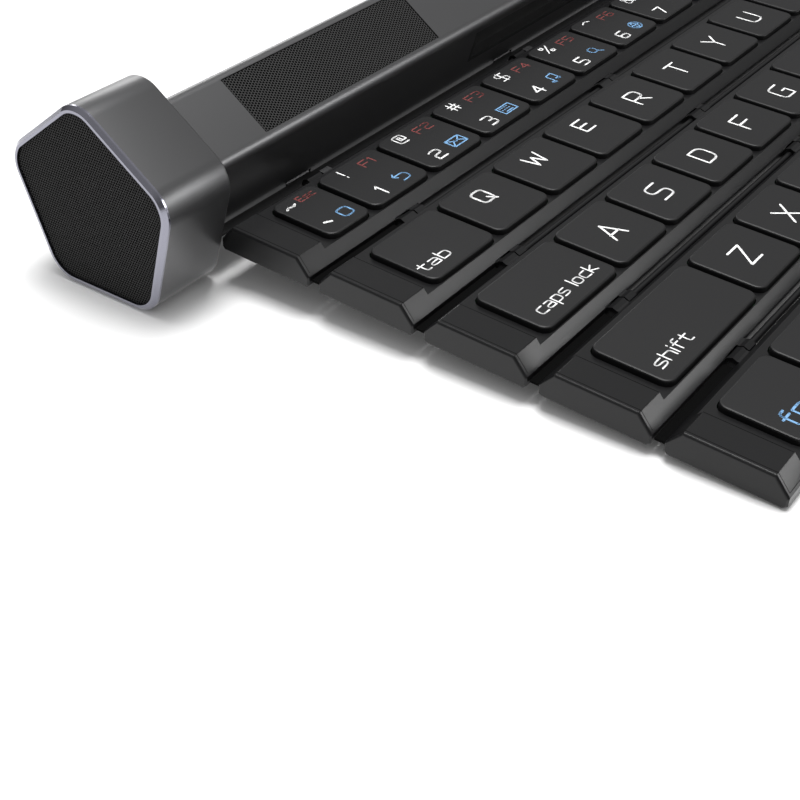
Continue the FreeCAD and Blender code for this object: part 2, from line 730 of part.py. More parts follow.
def make_bar_inside():
    """Grilles, drivers, rest channel, board, cell, socket and switch knob of the bar."""
    window_x = f"{HALF_ROW} - window_start - window_length"
    driver_x = f"{window_x} + window_length / 2 - bar_driver_length / 2"
    for side, label in ((-1, "left"), (1, "right")):
        grille = on_flat(
            f"front_grille_{label}", UPPER_FRONT_ANGLE,
            ("window_length", "window_width", "tube_wall - window_sink"),
            mirrored(window_x, "window_length", side),
            "-window_width / 2", f"{TUBE_APOTHEM} - tube_wall",
        )
        add_node(f"front_grille_{label}", grille)
        block = on_flat(
            f"front_driver_{label}_block", UPPER_FRONT_ANGLE,
            ("bar_driver_length", "bar_driver_width", "bar_driver_depth"),
            mirrored(driver_x, "bar_driver_length", side),
            "-bar_driver_width / 2", f"{TUBE_APOTHEM} - tube_wall - bar_driver_depth",
        )
        doc.recompute()
        driver = doc.addObject("Part::Chamfer", f"front_driver_{label}")
        driver.Base = block
        corner = number("bar_driver_corner")
        driver.Edges = [
            (index, corner, corner)
            for index, edge in enumerate(block.Shape.Edges, start=1)
            if abs(edge.Length - number("bar_driver_depth")) < 1e-6
        ]
        add_node(f"front_driver_{label}", driver)
    channel_length = "(row_length - 2 * channel_start)"
    tray = on_flat(
        "channel_tray", LOWER_FRONT_ANGLE, (channel_length, "channel_width", "channel_depth"),
        f"-{channel_length} / 2", "-channel_low", f"{TUBE_APOTHEM} - channel_depth",
    )
    trough = on_flat(
        "channel_trough", LOWER_FRONT_ANGLE,
        (
            f"{channel_length} - 2 * channel_wall",
            "channel_width - 2 * channel_wall",
            "channel_depth",
        ),
        f"-{channel_length} / 2 + channel_wall", "-channel_low + channel_wall",
        f"{TUBE_APOTHEM} - channel_depth + channel_wall",
    )
    add_node("rest_channel", cut("rest_channel", tray, [trough]))
    floor = f"(cap_apothem - {TUBE_APOTHEM} + tube_wall)"
    board = box(
        "main_board",
        ("main_board_length", "main_board_width", "main_board_thickness"),
        ("-main_board_length / 2", f"{BAR_Y} - main_board_width / 2", floor),
    )
    add_node("main_board", board)
    cell = rod(
        "battery", "battery_radius", "battery_length",
        (
            "-battery_length / 2", f"{BAR_Y} + battery_offset",
            f"{floor} + main_board_thickness + battery_radius",
        ),
    )
    add_node("battery", cell)
    shell = on_flat(
        "socket_shell", LOWER_BACK_ANGLE, ("socket_length", "socket_width", "socket_depth"),
        "socket_place", "-socket_width / 2", f"{TUBE_APOTHEM} - socket_depth",
    )
    mouth = on_flat(
        "socket_mouth", LOWER_BACK_ANGLE,
        ("socket_length - 2 * socket_wall", "socket_width - 2 * socket_wall", "socket_depth"),
        "socket_place + socket_wall", "-socket_width / 2 + socket_wall",
        f"{TUBE_APOTHEM} - socket_depth + socket_wall",
    )
    add_node("charge_socket", cut("charge_socket", shell, [mouth]))
    knob = on_flat(
        "power_switch", LOWER_BACK_ANGLE, ("slider_length", "slider_width", "slider_depth"),
        "switch_place", "-slider_width / 2", f"{TUBE_APOTHEM} - slider_sink - slider_depth",
    )
    add_node("power_switch", knob)


def make_end(side, label):
    """End cap with its bright rim, grille and driver; side is the sign of X."""
    inner_face = f"{HALF_ROW} + side_gap"
    cup_length = "(cap_length - rim_depth)"
    corner = (0, 1, 2, 3, 4)
    cup = bar_prism(
        f"{label}_cap_cup", "cap_apothem", cup_length, mirrored(inner_face, cup_length, side),
        fillets=(("cap_radius", corner),),
    )
    hollow_start = f"{inner_face} + cap_wall"
    hollow_length = f"{cup_length} - cap_wall"
    hollow = bar_prism(
        f"{label}_cap_hollow", "cap_apothem - cap_wall", hollow_length,
        mirrored(hollow_start, hollow_length, side),
        fillets=(("cap_radius - cap_wall", corner),),
    )
    add_node(f"{label}_end_cap", cut(f"{label}_end_cap", cup, [hollow]))
    rim_start = f"{inner_face} + {cup_length}"
    ring = bar_prism(
        f"{label}_rim_ring", "cap_apothem", "rim_depth", mirrored(rim_start, "rim_depth", side),
        fillets=(("cap_radius", corner),), chamfer="rim_chamfer", chamfered_ends=(side,),
    )
    opening = bar_prism(
        f"{label}_rim_opening", "cap_apothem - rim_width", "rim_depth",
        mirrored(rim_start, "rim_depth", side), fillets=(("cap_radius - rim_width", corner),),
    )
    add_node(f"{label}_rim", cut(f"{label}_rim", ring, [opening]))
    plate = bar_prism(
        f"{label}_end_grille", "cap_apothem - rim_width - grille_clearance", "grille_thickness",
        mirrored(rim_start, "grille_thickness", side),
        fillets=(("cap_radius - rim_width - grille_clearance", corner),),
    )
    add_node(f"{label}_end_grille", plate)
    magnet_depth = "(driver_depth - driver_frame)"
    frame_start = f"{hollow_start} + {magnet_depth}"
    magnet = octagon_rod(
        f"{label}_driver_magnet", "driver_magnet", magnet_depth,
        (mirrored(hollow_start, magnet_depth, side), BAR_Y, "cap_apothem"),
    )
    frame = octagon_rod(
        f"{label}_driver_frame", "driver_rim", "driver_frame",
        (mirrored(frame_start, "driver_frame", side), BAR_Y, "cap_apothem"),
    )
    add_node(f"{label}_driver", fuse(f"{label}_driver", [magnet, frame]))


def check_and_write():
    """Stop on any failed object or bad shape, then write every piece."""
    doc.recompute()
    failed = [
        item.Name for item in doc.Objects if "Invalid" in item.State or "Error" in item.State
    ]
    if failed:
        raise RuntimeError(f"failed objects: {failed}")
    for name, item in nodes.items():
        shape = item.Shape
        if shape.isNull() or not shape.isValid() or not shape.Solids:
            raise RuntimeError(f"bad shape: {name}")
    os.makedirs(PARTS_FOLDER, exist_ok=True)
    for name, item in nodes.items():
        item.Shape.exportStep(os.path.join(PARTS_FOLDER, name + ".step"))
    print(f"{len(nodes)} pieces written")
    hinge = [number(text) for text in (BAR_Y, LEAF_REACH, LEAF_HEIGHT, OPEN_REACH, OPEN_HEIGHT)]
    print("bar axis y, leaf pin reach and height, first hinge reach and height:", hinge)


make_tube()
make_bar_inside()
make_end(-1, "left")
make_end(1, "right")
make_leaf()
for row in ROWS:
    make_tray(row)
    make_deck(row)
    make_board(row)
    make_keys(row)
    make_hinge_pin(row)
check_and_write()
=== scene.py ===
import json
import logging
import math
from dataclasses import dataclass
from enum import Enum
from typing import Callable, Iterable, Sequence

import bmesh
import bpy
from mathutils import Matrix, Vector
from mathutils.geometry import interpolate_bezier


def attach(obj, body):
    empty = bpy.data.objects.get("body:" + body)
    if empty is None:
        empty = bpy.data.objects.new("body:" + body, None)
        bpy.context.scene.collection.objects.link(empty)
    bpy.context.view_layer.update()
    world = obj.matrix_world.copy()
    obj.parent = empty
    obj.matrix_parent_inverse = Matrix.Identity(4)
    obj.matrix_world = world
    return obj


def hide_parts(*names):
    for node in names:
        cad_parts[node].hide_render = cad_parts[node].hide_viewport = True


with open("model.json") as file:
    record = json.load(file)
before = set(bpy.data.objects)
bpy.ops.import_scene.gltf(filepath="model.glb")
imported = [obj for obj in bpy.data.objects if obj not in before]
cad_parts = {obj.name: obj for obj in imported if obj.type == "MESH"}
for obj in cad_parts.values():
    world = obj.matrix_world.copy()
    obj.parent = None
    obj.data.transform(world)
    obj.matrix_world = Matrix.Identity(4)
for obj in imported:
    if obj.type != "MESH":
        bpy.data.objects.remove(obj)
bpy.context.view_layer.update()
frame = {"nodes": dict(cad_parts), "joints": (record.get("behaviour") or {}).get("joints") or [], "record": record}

MM = 0.001
LAST_ROW = 5
# Distances in mm below which points are one point, and below which two points are level.
WELD_MM = 0.001
LEVEL_MM = 0.01
# Length of the slow change of tone in mm, the grain's share in the roughness, and its height in mm.
DRIFT_MM = 40.0
ROUGH_SWING = 0.12
GRAIN_HEIGHT_MM = 0.05
# Least length in mm and least angle of an edge that is softened, and the angle up to which faces are one flat.
SOFT_EDGE_MM = 3.0
SOFT_EDGE_ANGLE = math.radians(25)
FLAT_ANGLE = math.radians(1.0)
log = logging.getLogger("keyboard")


def srgb(code: str) -> tuple[float, float, float, float]:
    """Turn an sRGB hex colour to linear.

    Args:
        code: colour as "#rrggbb".

    Returns:
        Linear red, green, blue and an alpha of 1.
    """
    parts = [int(code[i:i + 2], 16) / 255 for i in (1, 3, 5)]
    linear = [v / 12.92 if v <= 0.04045 else ((v + 0.055) / 1.055) ** 2.4 for v in parts]
    return (*linear, 1.0)


def add_node(
    tree: bpy.types.NodeTree, kind: str, settings: dict | None = None, **links: bpy.types.NodeSocket,
) -> bpy.types.Node:
    """Add a shader node with its settings and links.

    Args:
        tree: node tree that gets the node.
        kind: Blender's name of the node type.
        settings: node attributes, or input values by input name or number.
        **links: output sockets to link, by input name with spaces as underscores, or by an underscore and its number.

    Returns:
        The new node.
    """
    node = tree.nodes.new(kind)
    for name, value in (settings or {}).items():
        if isinstance(name, int) or name in node.inputs:
            node.inputs[name].default_value = value
        else:
            setattr(node, name, value)
    for name, socket in links.items():
        key = int(name[1:]) if name[1:].isdigit() else name.replace("_", " ")
        tree.links.new(socket, node.inputs[key])
    return node


@dataclass(frozen=True)
class Finish:
    """Plain base of every finish.

    Attributes:
        name: material's name, in a maker's words.
        colour: sRGB hex colour.
        roughness: shader roughness.
        metallic: shader metallic value.
        grain_mm: size of the surface grain.
        grain_depth: strength of the grain's bump.
        tone: share by which the colour wanders over the surface.
        specular: specular level of the shader.
    """

    name: str
    colour: str
    roughness: float = 0.5
    metallic: float = 0.0
    grain_mm: float = 0.35
    grain_depth: float = 0.1
    tone: float = 0.08
    specular: float = 0.5

    def material(self) -> bpy.types.Material:
        """Make the material once, and give it again when asked again.

        Returns:
            The finish's material.
        """
        found = bpy.data.materials.get(self.name)
        if found:
            return found
        made = bpy.data.materials.new(self.name)
        made.use_nodes = True
        tree = made.node_tree
        shader = tree.nodes["Principled BSDF"]
        shader.inputs["Metallic"].default_value = self.metallic
        shader.inputs["Base Color"].default_value = srgb(self.colour)
        shader.inputs["Roughness"].default_value = self.roughness
        shader.inputs["Specular IOR Level"].default_value = self.specular
        place = add_node(tree, "ShaderNodeTexCoord").outputs["Object"]
        self.dress(tree, shader, place)
        return made

    def dress(self, tree: bpy.types.NodeTree, shader: bpy.types.Node, place: bpy.types.NodeSocket) -> None:
        """Lay a fine moulded grain and a slow change of tone over the surface.

        Args:
            tree: the material's node tree.
            shader: its surface shader.
            place: object coordinates, in metres.
        """
        grain = add_node(tree, "ShaderNodeTexNoise", {"Scale": 1 / (self.grain_mm * MM), "Detail": 3.0}, Vector=place)
        drift = add_node(tree, "ShaderNodeTexNoise", {"Scale": 1 / (DRIFT_MM * MM), "Detail": 2.0}, Vector=place)
        low, high = 1 - self.tone, 1 + self.tone
        shade = add_node(tree, "ShaderNodeMapRange", {"To Min": low, "To Max": high}, Value=drift.outputs[0])
        tint = add_node(
            tree, "ShaderNodeMix", {"data_type": "RGBA", "blend_type": "MULTIPLY", "Factor": 1.0, 6: srgb(self.colour)},
            _7=shade.outputs[0],
        )
        tree.links.new(tint.outputs[2], shader.inputs["Base Color"])
        rough = add_node(
            tree, "ShaderNodeMapRange",
            {"To Min": self.roughness * (1 - ROUGH_SWING), "To Max": min(1.0, self.roughness * (1 + ROUGH_SWING))},
            Value=grain.outputs[0],
        )
        tree.links.new(rough.outputs[0], shader.inputs["Roughness"])
        bump = add_node(
            tree, "ShaderNodeBump", {"Strength": self.grain_depth, "Distance": GRAIN_HEIGHT_MM * MM},
            Height=grain.outputs[0],
        )
        tree.links.new(bump.outputs[0], shader.inputs["Normal"])


@dataclass(frozen=True)
class Perforated(Finish):
    """Black sheet with small holes in staggered rows, 60 degrees apart.

    Attributes:
        pitch_mm: distance between neighbouring holes.
        hole: hole's radius as a share of the pitch.
        web: sRGB hex colour of the metal between the holes.
        turn: turn of the lattice in degrees about X, Y and Z, which lays it in the sheet.
        softness: half the span of the wave height over which a hole turns to web.
        pit_mm: depth of the pits that the holes look like.
        pit_strength: strength of the pits' bump.
    """

    pitch_mm: float = 0.8
    hole: float = 0.33
    web: str = "#3a3a3a"
    turn: tuple[float, float, float] = (0.0, 0.0, 0.0)
    softness: float = 0.4
    pit_mm: float = 0.2
    pit_strength: float = 0.6

    def dress(self, tree: bpy.types.NodeTree, shader: bpy.types.Node, place: bpy.types.NodeSocket) -> None:
        """Draw the holes as dark pits, where three waves 60 degrees apart have their crests together.

        Args:
            tree: the material's node tree.
            shader: its surface shader.
            place: object coordinates, in metres.
        """
        turn = [math.radians(a) for a in self.turn]
        lattice = add_node(tree, "ShaderNodeMapping", {"Rotation": turn}, Vector=place).outputs[0]
        wave_number = 4 * math.pi / math.sqrt(3)
        height = None
        for angle in (0.0, math.pi / 3, 2 * math.pi / 3):
            way = Vector((math.cos(angle), math.sin(angle), 0.0)) * wave_number / (self.pitch_mm * MM)
            phase = add_node(tree, "ShaderNodeVectorMath", {"operation": "DOT_PRODUCT", 1: way}, _0=lattice)
            wave = add_node(tree, "ShaderNodeMath", {"operation": "COSINE"}, _0=phase.outputs["Value"]).outputs[0]
            if height:
                wave = add_node(tree, "ShaderNodeMath", {"operation": "ADD"}, _0=height, _1=wave).outputs[0]
            height = wave
        rim = math.cos(wave_number * self.hole) + 2 * math.cos(wave_number * self.hole / 2)
        span = {"From Min": rim + self.softness, "From Max": rim - self.softness}
        edge = add_node(tree, "ShaderNodeMapRange", span, Value=height)
        tint = add_node(
            tree, "ShaderNodeMix", {"data_type": "RGBA", 6: srgb(self.colour), 7: srgb(self.web)},
            Factor=edge.outputs[0],
        )
        tree.links.new(tint.outputs[2], shader.inputs["Base Color"])
        pits = {"Strength": self.pit_strength, "Distance": self.pit_mm * MM}
        bump = add_node(tree, "ShaderNodeBump", pits, Height=edge.outputs[0])
        tree.links.new(bump.outputs[0], shader.inputs["Normal"])


# Satin lacquer over die-cast metal: a soft broad sheen with a very fine grit.
BAR_COAT = Finish("satin_gunmetal_lacquer", "#585859", 0.36, 0.8, 0.25, 0.03, 0.03)
# Turned and polished aluminium ring: bright, with a thin blur.
RIM_METAL = Finish("polished_aluminium_rim", "#85858f", 0.2, 1.0, 0.2, 0.02, 0.02)
# Moulded ABS of the rows: dark, with a fine spark-eroded grain that softens reflections.
ROW_PLASTIC = Finish("grained_abs_charcoal", "#111112", 0.3, 0.0, 0.22, 0.08, 0.05, 0.26)
# Soft-touch coat of the keys: a little lighter and flatter than the rows.
KEY_COAT = Finish("soft_touch_key_coat", "#131314", 0.46, 0.0, 0.2, 0.08, 0.04, 0.28)
# Steel of the pins and other small parts, coloured near black as painted shade so that the gaps stay dark.
GAP_SHADE_STEEL = Finish("blackened_steel", "#161617", 0.45, 0.6, 0.3, 0.08, 0.06)
# Moulded black plastic of the rest channel and the switch knob.
BLACK_PLASTIC = Finish("moulded_black_plastic", "#0c0c0d", 0.5, 0.0, 0.3, 0.1, 0.05)
# Near-black moulded rubber of the gap seals and the lines on the rows: painted shade in the seals and in the lines at
# the raised ends' inner edges, a real dark joint in the parting lines.
SEAM_AND_SHADE_RUBBER = Finish("moulded_black_rubber", "#040404", 0.8, 0.0, 0.4, 0.15, 0.1, 0.05)
# Screen-printed ink: flat and a little rough.
WHITE_INK = Finish("white_screen_ink", "#f2f2f2", 0.6, 0.0, 0.15, 0.02, 0.01)
RED_INK = Finish("red_screen_ink", "#742c2a", 0.6, 0.0, 0.15, 0.02, 0.01)
BLUE_INK = Finish("blue_screen_ink", "#73a3cf", 0.6, 0.0, 0.15, 0.02, 0.01)
# Perforated steel over the bar's drivers; the holes are drawn at the spacing that the photograph shows.
BAR_MESH = Perforated(
    "perforated_black_steel", "#000000", 0.5, 0.0, specular=0.02, pitch_mm=0.6, hole=0.36, web="#3e3e3e",
    turn=(-36.0, 0.0, 0.0),
)
# Finer perforated sheet over the end drivers.
END_MESH = Perforated(
    "fine_perforated_black_steel", "#000000", 0.75, 0.0, specular=0.02, pitch_mm=0.54, hole=0.36, web="#424242",
    turn=(0.0, 90.0, 0.0),
)
# Green solder mask of the boards, inside the closed parts.
BOARD_MASK = Finish("green_solder_mask", "#1d5a35", 0.35, 0.0, 0.4, 0.05, 0.05)
# Shrink wrap of the battery cell.
CELL_WRAP = Finish("blue_cell_wrap", "#2c5688", 0.4, 0.0, 0.4, 0.05, 0.05)

# Finish of each material slot, and of the nodes that differ from their slot.
NODE_FINISHES = {
    "front_grille_left": BAR_MESH,
    "front_grille_right": BAR_MESH,
    "bar_leaf": BAR_COAT,
    "bar_metal": BAR_COAT,
    "rim_metal": RIM_METAL,
    "grille_black": BLACK_PLASTIC,
    "row_plastic": ROW_PLASTIC,
    "key_plastic": KEY_COAT,
    "channel_plastic": BLACK_PLASTIC,
    "steel": GAP_SHADE_STEEL,
    "board": BOARD_MASK,
    "driver": BLACK_PLASTIC,
    "cell": CELL_WRAP,
}


def dress_frame() -> None:
    """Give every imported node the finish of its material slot."""
    slots = {part["node"]: part["material_slot"] for part in frame["record"]["subparts"]}
    for name, item in frame["nodes"].items():
        finish = NODE_FINISHES.get(name, NODE_FINISHES[slots[name]])
        item.data.materials.clear()
        item.data.materials.append(finish.material())
        log.info("%s: %s", name, finish.name)


def new_piece(
    name: str, mesh: bmesh.types.BMesh, finish: Finish, body: str, nodes: Sequence[str] = (),
    smooth_angle: float = 35.0,
) -> bpy.types.Object:
    """Turn a bmesh into a finished piece that rides on a body.

    Args:
        name: piece's name.
        mesh: its shape, in metres in the object's frame; it is freed.
        finish: its finish.
        body: body that carries it.
        nodes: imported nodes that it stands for.
        smooth_angle: edges flatter than this, in degrees, shade smoothly.

    Returns:
        The new object.
    """
    bmesh.ops.recalc_face_normals(mesh, faces=mesh.faces)
    data = bpy.data.meshes.new(name)
    mesh.to_mesh(data)
    mesh.free()
    data.polygons.foreach_set("use_smooth", [True] * len(data.polygons))
    data.set_sharp_from_angle(angle=math.radians(smooth_angle))
    data.materials.append(finish.material())
    piece = bpy.data.objects.new(name, data)
    bpy.context.scene.collection.objects.link(piece)
    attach(piece, body)
    if nodes:
        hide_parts(*nodes)
    log.info("%s: %d faces on %s", name, len(data.polygons), body)
    return piece


def soften(
    node: str, finish: Finish, body: str, radius: float, keep: Callable[[bmesh.types.BMEdge], bool] | None = None,
) -> bpy.types.Object:
    """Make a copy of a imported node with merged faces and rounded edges.

    Args:
        node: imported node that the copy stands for.
        finish: finish of the copy.
        body: body that carries it.
        radius: radius of the rounded edges in mm.
        keep: test of an edge that must stay sharp.

    Returns:
        The new piece.
    """
    mesh = bmesh.new()
    mesh.from_mesh(frame["nodes"][node].data)
    bmesh.ops.remove_doubles(mesh, verts=mesh.verts, dist=WELD_MM * MM)
    bmesh.ops.dissolve_limit(mesh, angle_limit=FLAT_ANGLE, verts=mesh.verts, edges=mesh.edges)
    sharp = [
        e for e in mesh.edges
        if len(e.link_faces) == 2 and e.calc_length() > SOFT_EDGE_MM * MM and e.calc_face_angle() > SOFT_EDGE_ANGLE
        and not (keep and keep(e))
    ]
    round_edges(mesh, sharp, radius * MM, 2)
    return new_piece(f"{node}_softened", mesh, finish, body, [node], 14.0)


@dataclass
class RowFrame:
    """Frame of one key row: X from its left end, Y back from its back hinge, Z up from its underside.

    Attributes:
        row: number of the row, from the bar.
        length: row's length in mm.
        slope: slope of the opened rows in degrees.
        hinge_height: height of the hinge axis over the row's underside in mm.
    """

    row: int
    length: float = 256.5
    slope: float = 3.5
    hinge_height: float = 1.3

    def matrix(self) -> Matrix:
        """Place the row at its fold joint.

        Returns:
            Matrix from the row's millimetres to the object's metres.
        """
        joint = next(j for j in frame["joints"] if j["name"] == f"fold_{self.row}")
        turn = Matrix.Rotation(math.radians(self.slope), 4, "X")
        start = Vector((-self.length / 2 * MM, joint["pos_m"][1], joint["pos_m"][2]))
        foot = Vector((0.0, 0.0, -self.hinge_height))
        return Matrix.Translation(start) @ turn @ Matrix.Scale(MM, 4) @ Matrix.Translation(foot)


@dataclass
class Camera:
    """Camera at the photograph's viewpoint.

    Attributes:
        place_mm: camera's place.
        angles: turn about X, Y and Z in degrees.
        lens_mm: focal length on a 36 mm sensor.
    """

    place_mm: tuple[float, float, float] = (-268.81, -108.61, 122.58)
    angles: tuple[float, float, float] = (53.235, 0.875, -53.351)
    lens_mm: float = 61.41

    def build(self) -> None:
        """Make the camera and look through it."""
        data = bpy.data.cameras.new("camera")
        data.lens = self.lens_mm
        data.sensor_width = 36.0
        data.clip_start = 0.01
        item = bpy.data.objects.new("camera", data)
        item.location = Vector(self.place_mm) * MM
        item.rotation_euler = [math.radians(a) for a in self.angles]
        bpy.context.scene.collection.objects.link(item)
        bpy.context.scene.camera = item


# Place in m, side in m and power in W of a soft lamp.
SoftLamp = tuple[tuple[float, float, float], float, float]


@dataclass
class Studio:
    """White floor and soft light.

    Attributes:
        floor_m: side of the floor.
        floor_colour: sRGB hex colour of the floor.
        floor_drop_mm: depth of the floor under the object.
        eye_lift: light that the floor adds for the camera.
        mirror_lift: light that the floor adds in reflections.
        sky: strength of the white surroundings at the horizon and overhead.
        lamps: soft lamps, all aimed at the object.
        cards: lamps that show in reflections only and leave the floor's shadows alone.
    """

    floor_m: float = 8.0
    floor_colour: str = "#f4f4f4"
    floor_drop_mm: float = 0.1
    eye_lift: float = 0.03
    mirror_lift: float = 0.3
    sky: tuple[float, float] = (0.1, 0.75)
    lamps: tuple[SoftLamp, ...] = (((0.08, 0.06, 1.3), 0.65, 19.5),)
    cards: tuple[SoftLamp, ...] = (((0.54, -0.77, 0.29), 0.35, 3.4), ((0.7, 0.97, 0.35), 0.35, 2.0))

    def build(self) -> None:
        """Lay the floor and light the object."""
        mesh = bmesh.new()
        level = Matrix.Translation((0.0, 0.0, -self.floor_drop_mm * MM))
        bmesh.ops.create_grid(mesh, x_segments=1, y_segments=1, size=self.floor_m / 2, matrix=level)
        data = bpy.data.meshes.new("floor")
        mesh.to_mesh(data)
        mesh.free()
        floor = bpy.data.objects.new("floor", data)
        bpy.context.scene.collection.objects.link(floor)
        data.materials.append(self.floor_material())
        world = bpy.data.worlds.new("surroundings")
        world.use_nodes = True
        self.light_sky(world.node_tree)
        bpy.context.scene.world = world
        for index, (place, side, power) in enumerate(self.lamps + self.cards):
            lamp = bpy.data.lights.new(f"soft_lamp_{index}", "AREA")
            lamp.shape = "SQUARE"
            lamp.size = side
            lamp.energy = power
            item = bpy.data.objects.new(f"soft_lamp_{index}", lamp)
            item.location = place
            item.visible_diffuse = index < len(self.lamps)
            item.rotation_euler = (-Vector(place)).to_track_quat("-Z", "Y").to_euler()
            bpy.context.scene.collection.objects.link(item)
        bpy.context.scene.view_settings.view_transform = "Standard"

    def light_sky(self, tree: bpy.types.NodeTree) -> None:
        """White surroundings that are brighter overhead than at the horizon.

        Args:
            tree: the world's node tree.
        """
        shader = tree.nodes["Background"]
        shader.inputs["Color"].default_value = (1.0, 1.0, 1.0, 1.0)
        way = add_node(tree, "ShaderNodeTexCoord").outputs["Generated"]
        height = add_node(tree, "ShaderNodeSeparateXYZ", Vector=way).outputs["Z"]
        level = add_node(tree, "ShaderNodeMapRange", {"To Min": self.sky[0], "To Max": self.sky[1]}, Value=height)
        tree.links.new(level.outputs[0], shader.inputs["Strength"])

    def floor_material(self) -> bpy.types.Material:
        """White floor that lifts to the photograph's white for the eye and keeps the shadows.

        Returns:
            The floor's material.
        """
        made = bpy.data.materials.new("white_studio_floor")
        made.use_nodes = True
        tree = made.node_tree
        shader = tree.nodes["Principled BSDF"]
        shader.inputs["Base Color"].default_value = srgb(self.floor_colour)
        shader.inputs["Roughness"].default_value = 1.0
        shader.inputs["Specular IOR Level"].default_value = 0.0
        rays = add_node(tree, "ShaderNodeLightPath")
        mirrored = add_node(
            tree, "ShaderNodeMath", {"operation": "MULTIPLY", 1: self.mirror_lift}, _0=rays.outputs["Is Glossy Ray"]
        )
        lift = add_node(
            tree, "ShaderNodeMath", {"operation": "MULTIPLY_ADD", 1: self.eye_lift}, _0=rays.outputs["Is Camera Ray"],
            _2=mirrored.outputs[0],
        )
        shader.inputs["Emission Color"].default_value = (1.0, 1.0, 1.0, 1.0)
        tree.links.new(lift.outputs[0], shader.inputs["Emission Strength"])
        return made


class Side(Enum):
    """End of the bar, with the sign of its X."""

    LEFT = -1
    RIGHT = 1


def extrude(mesh: bmesh.types.BMesh, faces: Sequence, move: Vector) -> list:
    """Extrude a region of faces into a closed shape.

    Args:
        mesh: mesh that holds the faces.
        faces: region to extrude; it stays as the near end.
        move: way from the near end to the far end.

    Returns:
        The faces of the far end.
    """
    grown = bmesh.ops.extrude_face_region(mesh, geom=list(faces), use_keep_orig=True)["geom"]
    bmesh.ops.translate(mesh, vec=move, verts=[g for g in grown if isinstance(g, bmesh.types.BMVert)])
    return [g for g in grown if isinstance(g, bmesh.types.BMFace)]


def round_edges(mesh: bmesh.types.BMesh, edges: Sequence, radius: float, segments: int) -> None:
    """Round some edges.

    Args:
        mesh: mesh that holds the edges.
        edges: edges to round.
        radius: offset of the round, in the mesh's unit.
        segments: facets of the round.
    """
    bmesh.ops.bevel(
        mesh, geom=list(edges), offset=radius, offset_type="OFFSET", affect="EDGES", segments=segments, profile=0.5,
        material=-1, clamp_overlap=True,
    )


@dataclass
class Pentagon:
    """Rounded five-sided outline of the bar, across X.

    Attributes:
        apothem: distance from the middle to a flat in mm.
        radius: corner radius in mm.
        middle: Y and Z of the middle in mm.
        segments: facets of each corner.
        split: share of a flat's length at which it is split near its corners, so that the flat shades flat.
    """

    apothem: float
    radius: float
    middle: tuple[float, float] = (48.851, 15.85)
    segments: int = 10
    split: float = 0.02

    def face(self, mesh: bmesh.types.BMesh, x: float) -> bmesh.types.BMFace:
        """Add the outline as one face.

        Args:
            mesh: mesh that gets the face.
            x: place of the face along the bar in mm.

        Returns:
            The new face.
        """
        turn = Matrix(((0, 0, 1, x), (1, 0, 0, self.middle[0]), (0, 1, 0, self.middle[1]), (0, 0, 0, 1)))
        corners = bmesh.ops.create_circle(
            mesh, cap_ends=True, segments=5, radius=self.apothem / math.cos(math.radians(36)),
            matrix=Matrix.Scale(MM, 4) @ turn,
        )["verts"]
        bmesh.ops.bevel(
            mesh, geom=corners, offset=self.radius / math.tan(math.radians(54)) * MM, offset_type="OFFSET",
            affect="VERTICES", segments=self.segments, profile=0.5, material=-1,
        )
        longest_facet = 4 * self.radius / self.segments
        flats = [e for e in mesh.edges if e.calc_length() > longest_facet * MM]
        for edge in flats:
            for vert in list(edge.verts):
                bmesh.utils.edge_split(edge, vert, self.split)
        return next(iter(mesh.faces))


